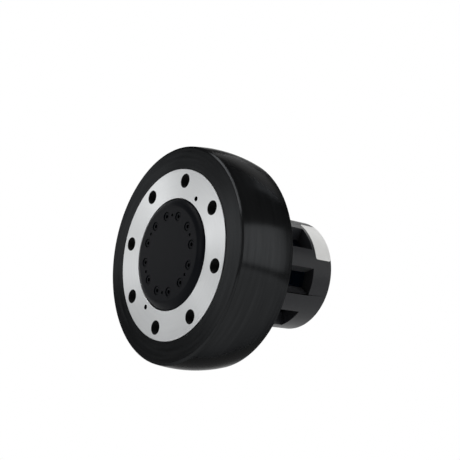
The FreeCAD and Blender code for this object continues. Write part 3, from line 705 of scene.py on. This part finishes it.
def hub_screw_angles(sizes):
    """Angles of the hub's screws, one on each side of a dowel."""
    return [angle + side * HUB_SCREW_STEP
            for angle in hub_dowel_angles(sizes) for side in (1, -1)]


class JOINT_OT_hub(bpy.types.Operator):
    """Turn the black hub disc and sink its screw and dowel holes"""

    bl_idname = "joint.hub"
    bl_label = "Hub disc"

    def execute(self, context):
        sizes = context.scene.joint_sizes
        low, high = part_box("hub_disc")
        face, rear = low.y / MM, high.y / MM
        outer, flat, rim_drop = 37.4, 32.2, 2.8
        item = held("hub", turned([
            (0, face), (flat, face), (outer, face + rim_drop), (outer, rear), (0, rear)],
            [1, 2], sizes.edge, closed=False, arcs=[(1, sizes.hub_rim)]))
        sink, sink_depth, sink_chamfer = 3.05, 3.5, 0.15
        cutter = plain_hole(sink, face, sink_depth, 1, sink_chamfer)
        spread_round(cutter, hub_screw_angles(sizes), HUB_CIRCLE * MM)
        carve(item, cutter)
        dowel_depth, dowel_chamfer = 5, 0.12
        cutter = plain_hole(HUB_DOWEL, face, dowel_depth, 1, dowel_chamfer)
        spread_round(cutter, hub_dowel_angles(sizes), HUB_CIRCLE * MM)
        carve(item, cutter)
        piece(item, "black_hub_disc", ["black_steel"], "output", "black_steel", "hub_disc")
        return {"FINISHED"}


class JOINT_OT_hub_fasteners(bpy.types.Operator):
    """Set twelve socket-head screws and six dowels in the hub"""

    bl_idname = "joint.hub_fasteners"
    bl_label = "Hub screws and dowels"

    def execute(self, context):
        sizes = context.scene.joint_sizes
        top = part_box("hub_screws")[0].y / MM
        radius, height, flats, socket = 2.72, 3, 2.5, 1.6
        heads = socket_head(radius, height, flats, socket, top, 1)
        spread_round(heads, hub_screw_angles(sizes), HUB_CIRCLE * MM)
        piece(held("screws", heads), "hub_socket_screws", ["black_steel"], "output",
              "black_steel", "hub_screws")
        low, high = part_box("hub_dowels")
        face, rear, rounding = low.y / MM, high.y / MM, 0.2 * MM
        pins = turned([(0, face), (HUB_DOWEL, face), (HUB_DOWEL, rear), (0, rear)], [1],
                      rounding, closed=False, steps=PIN_STEPS)
        spread_round(pins, hub_dowel_angles(sizes), HUB_CIRCLE * MM)
        piece(held("dowels", pins), "hub_dowel_pins", ["dowel_steel"], "output",
              "dowel_steel", "hub_dowels")
        return {"FINISHED"}


class JOINT_OT_front_ring(bpy.types.Operator):
    """Turn the black ring that closes the drum's front"""

    bl_idname = "joint.front_ring"
    bl_label = "Front ring"

    def execute(self, context):
        sizes = context.scene.joint_sizes
        low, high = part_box("front_ring")
        face, rear, rim = low.y / MM, high.y / MM, high.x / MM
        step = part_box("drum_housing")[0].y / MM
        bore, spigot = 58.35, 64
        item = held("ring", turned([
            (bore, face), (rim - sizes.ring_chamfer / MM, face), (rim, step), (spigot, step),
            (spigot, rear), (bore, rear)], [0, 1, 2], sizes.edge))
        piece(item, "black_front_ring", ["black_anodised"], "housing",
              "black_anodised", "front_ring")
        return {"FINISHED"}


class JOINT_OT_drum(bpy.types.Operator):
    """Turn the crowned drum and tap the holes in its rear face"""

    bl_idname = "joint.drum"
    bl_label = "Drum"

    def execute(self, context):
        sizes = context.scene.joint_sizes
        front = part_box("drum_housing")[0].y / MM
        bore, front_rim = 64, 73.7
        rear_rim, rear_flat, rear_chamfer = 73, 72.2, 0.8
        seat, seat_depth = 54.3, 0.5
        spigot_bore, wall = 44, 6
        item = held("drum", turned([
            (bore, front), (front_rim, front), (rear_rim, -rear_chamfer), (rear_flat, 0),
            (seat, 0), (seat, -seat_depth), (spigot_bore, -seat_depth),
            (spigot_bore, -wall), (bore, -wall)],
            [1, 2, 3, 4], sizes.edge, arcs=[(1, sizes.crown)]))
        bolts = MOUNTS["housing_bolts"]["dims"]
        bolt_depth, threads = 12, 6
        cutter = tapped_hole(bolts["hole_r_mm"], 0, bolt_depth, -1, sizes, threads)
        spread_round(cutter, full_circle(bolts["count"]), bolts["pcd_mm"] / 2 * MM)
        carve(item, cutter, 1)
        piece(item, "crowned_drum", ["black_anodised", "tapped_thread"], "housing",
              "black_anodised", "drum_housing")
        return {"FINISHED"}


class JOINT_OT_rear_housing(bpy.types.Operator):
    """Turn the rear housing and cut its seven tapered windows"""

    bl_idname = "joint.rear_housing"
    bl_label = "Rear housing"

    def execute(self, context):
        sizes = context.scene.joint_sizes
        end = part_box("rear_housing")[1].y / MM
        outer, chamfer = 40, 0.5
        spigot, spigot_front, seat = 44, -6, -0.5
        flange, flange_rear = 54, 6
        motor_bore, motor_end = 36.5, 27
        bore = 31
        cover_bore, cover_seat = 37.05, end - 6.5
        item = held("housing", turned([
            (motor_bore, spigot_front), (spigot, spigot_front), (spigot, seat),
            (flange, seat), (flange, flange_rear), (outer, flange_rear),
            (outer, end - chamfer), (outer - chamfer, end), (cover_bore, end),
            (cover_bore, cover_seat), (bore, cover_seat), (bore, motor_end),
            (motor_bore, motor_end)], [], 0))
        count, pitch, first_window = 7, 48, -110.15
        window_start, window_length = end - 41, 23.2
        inside, inside_half = 29, 4.7
        outside, outside_half = 42, 11.2
        cutter = bmesh.new()
        corners = [cutter.verts.new((x * MM, window_start * MM, z * MM))
                   for x, z in ((inside, -inside_half), (outside, -outside_half),
                                (outside, outside_half), (inside, inside_half))]
        lid = cutter.faces.new(corners)
        deep = bmesh.ops.extrude_face_region(cutter, geom=[lid])["geom"]
        bmesh.ops.translate(cutter, vec=(0, window_length * MM, 0),
                            verts=[v for v in deep if isinstance(v, bmesh.types.BMVert)])
        spread_round(cutter, [first_window + pitch * step for step in range(count)], 0)
        bmesh.ops.recalc_face_normals(cutter, faces=cutter.faces[:])
        carve(item, cutter)
        ease_edges(item, sizes.window_edge)
        piece(item, "windowed_housing", ["cast_anodised"], "housing",
              "cast_anodised", "rear_housing")
        return {"FINISHED"}


class JOINT_OT_rear_fasteners(bpy.types.Operator):
    """Set the screws of the housing flange and of the rear cover"""

    bl_idname = "joint.rear_fasteners"
    bl_label = "Housing and cover screws"

    def execute(self, context):
        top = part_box("housing_screws")[1].y / MM
        radius, height, flats, socket = 3.48, 4, 3, 2
        count, circle = 6, 49
        heads = socket_head(radius, height, flats, socket, top, -1)
        spread_round(heads, full_circle(count), circle * MM)
        piece(held("screws", heads), "housing_socket_screws", ["black_steel"],
              "housing", "black_steel", "housing_screws")
        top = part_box("cover_screws")[1].y / MM
        radius, height, flats, socket = 2.73, 3, 2.5, 1.5
        count, first, circle = 4, 45, 34
        heads = socket_head(radius, height, flats, socket, top, -1)
        spread_round(heads, full_circle(count, first), circle * MM)
        piece(held("screws", heads), "cover_socket_screws", ["black_steel"],
              "housing", "black_steel", "cover_screws")
        return {"FINISHED"}


class JOINT_OT_rear_cover(bpy.types.Operator):
    """Turn the rear cover"""

    bl_idname = "joint.rear_cover"
    bl_label = "Rear cover"

    def execute(self, context):
        sizes = context.scene.joint_sizes
        low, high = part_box("rear_cover")
        rim, front, rear = high.x / MM, low.y / MM, high.y / MM
        item = held("cover", turned([(0, front), (rim, front), (rim, rear), (0, rear)],
                                    [2], sizes.edge, closed=False))
        piece(item, "turned_rear_cover", ["black_anodised"], "housing",
              "black_anodised", "rear_cover")
        return {"FINISHED"}


def soft_box(name, size, glow, at, towards, roll):
    """A rectangular lamp facing a point, rolled by some degrees. glow is how bright it looks."""
    lamp = bpy.data.lights.new(name, "AREA")
    lamp.shape = "RECTANGLE"
    lamp.size, lamp.size_y = size
    lamp.energy = glow * math.pi * size[0] * size[1]
    item = bpy.data.objects.new(name, lamp)
    item.location = at
    item.rotation_mode = "QUATERNION"
    facing = (Vector(towards) - Vector(at)).to_track_quat("-Z", "Y")
    item.rotation_quaternion = facing @ Quaternion((0, 0, 1), math.radians(roll))
    bpy.context.scene.collection.objects.link(item)


# name, size, how bright it looks, direction from the object, distance, roll in degrees
LAMPS = (
    ("front_left_softbox", (1.3, 1.2), 0.12, (-0.84, -0.52, 0.1), 1.3, 0),
    ("front_left_strip", (1.7, 0.13), 0.95, (-0.765, -0.619, 0.179), 1.2, 14),
    ("front_cross_strip", (1.7, 0.13), 0.85, (-0.765, -0.619, 0.179), 1.15, -43),
    ("front_softbox", (0.5, 0.5), 2.0, (0.05, -0.98, 0.18), 1.4, 0),
    ("rear_strip", (0.9, 0.35), 2.0, (-0.18, 0.62, 0.76), 1.2, 0),
    ("rear_right_softbox", (1.2, 0.72), 1.4, (0.86, 0.5, 0.19), 1.2, 0),
    ("overhead_strip", (1.4, 0.2), 5.0, (-0.05, -0.66, 0.75), 1.4, -40),
)
# The camera, from the middle of the flange's face.
CAMERA_AZIMUTH = 51.02   # degrees
CAMERA_ELEVATION = -10.29
CAMERA_ROLL = 3.33
CAMERA_DISTANCE = 0.57339
CAMERA_ACROSS = 0.03992
CAMERA_UPWARD = 0.01612
CAMERA_LENS = 67.23


class JOINT_OT_stage(bpy.types.Operator):
    """Set the floor, the studio light and the camera"""

    bl_idname = "joint.stage"
    bl_label = "Stage"

    def execute(self, context):
        scene = context.scene
        low, high = CAD_BOX
        middle = (low + high) / 2

        bm = bmesh.new()
        bmesh.ops.create_circle(bm, cap_ends=True, segments=96, radius=FLOOR_RADIUS)
        bmesh.ops.translate(bm, verts=bm.verts, vec=(0, 0, low.z - FLOOR_DROP))
        floor = held("studio_floor", bm)
        floor.data.materials.append(studio_floor(scene.joint_colours))

        for name, size, glow, way, distance, tilt in LAMPS:
            at = middle + Vector(way).normalized() * distance
            soft_box(name, size, glow, at, middle, tilt)

        azimuth = math.radians(CAMERA_AZIMUTH)
        elevation = math.radians(CAMERA_ELEVATION)
        roll = math.radians(CAMERA_ROLL)
        back_way = Vector((math.sin(azimuth) * math.cos(elevation),
                           -math.cos(azimuth) * math.cos(elevation), math.sin(elevation)))
        right = Vector((math.cos(azimuth), math.sin(azimuth), 0))
        up = back_way.cross(right)
        across = math.cos(roll) * right + math.sin(roll) * up
        upward = math.cos(roll) * up - math.sin(roll) * right
        scene.world = studio_world(-back_way)
        face = Vector((0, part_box("output_flange")[0].y, 0))
        camera = bpy.data.objects.new("camera", bpy.data.cameras.new("camera"))
        camera.data.lens = CAMERA_LENS
        spot = (face + CAMERA_DISTANCE * back_way + CAMERA_ACROSS * across
                + CAMERA_UPWARD * upward)
        turn_matrix = Matrix((across, upward, back_way)).transposed().to_4x4()
        camera.matrix_world = Matrix.Translation(spot) @ turn_matrix
        camera.data.clip_start, camera.data.clip_end = 0.01, 100
        scene.collection.objects.link(camera)
        scene.camera = camera
        scene.view_settings.view_transform = "Standard"
        return {"FINISHED"}


class JOINT_PT_panel(bpy.types.Panel):
    """Lists the steps that build the joint"""

    bl_label = "Robot joint"
    bl_idname = "JOINT_PT_panel"
    bl_space_type = "VIEW_3D"
    bl_region_type = "UI"
    bl_category = "Joint"

    def draw(self, context):
        for group in (context.scene.joint_sizes, context.scene.joint_colours):
            for name in group.bl_rna.properties.keys():
                if name not in ("rna_type", "name"):
                    self.layout.prop(group, name)
        for step in STEPS:
            self.layout.operator(step.bl_idname)


STEPS = (JOINT_OT_finishes, JOINT_OT_flange, JOINT_OT_hub, JOINT_OT_hub_fasteners,
         JOINT_OT_front_ring, JOINT_OT_drum, JOINT_OT_rear_housing, JOINT_OT_rear_fasteners,
         JOINT_OT_rear_cover, JOINT_OT_stage)
CLASSES = (JointSizes, JointColours, *STEPS, JOINT_PT_panel)


def register():
    for item in CLASSES:
        bpy.utils.register_class(item)
    bpy.types.Scene.joint_sizes = PointerProperty(type=JointSizes)
    bpy.types.Scene.joint_colours = PointerProperty(type=JointColours)


def unregister():
    del bpy.types.Scene.joint_colours
    del bpy.types.Scene.joint_sizes
    for item in reversed(CLASSES):
        bpy.utils.unregister_class(item)


def main():
    """Build every piece in order."""
    register()
    bpy.ops.joint.finishes()
    bpy.ops.joint.flange()
    bpy.ops.joint.hub()
    bpy.ops.joint.hub_fasteners()
    bpy.ops.joint.front_ring()
    bpy.ops.joint.drum()
    bpy.ops.joint.rear_housing()
    bpy.ops.joint.rear_fasteners()
    bpy.ops.joint.rear_cover()
    bpy.ops.joint.stage()


if __name__ == "__main__":
    main()
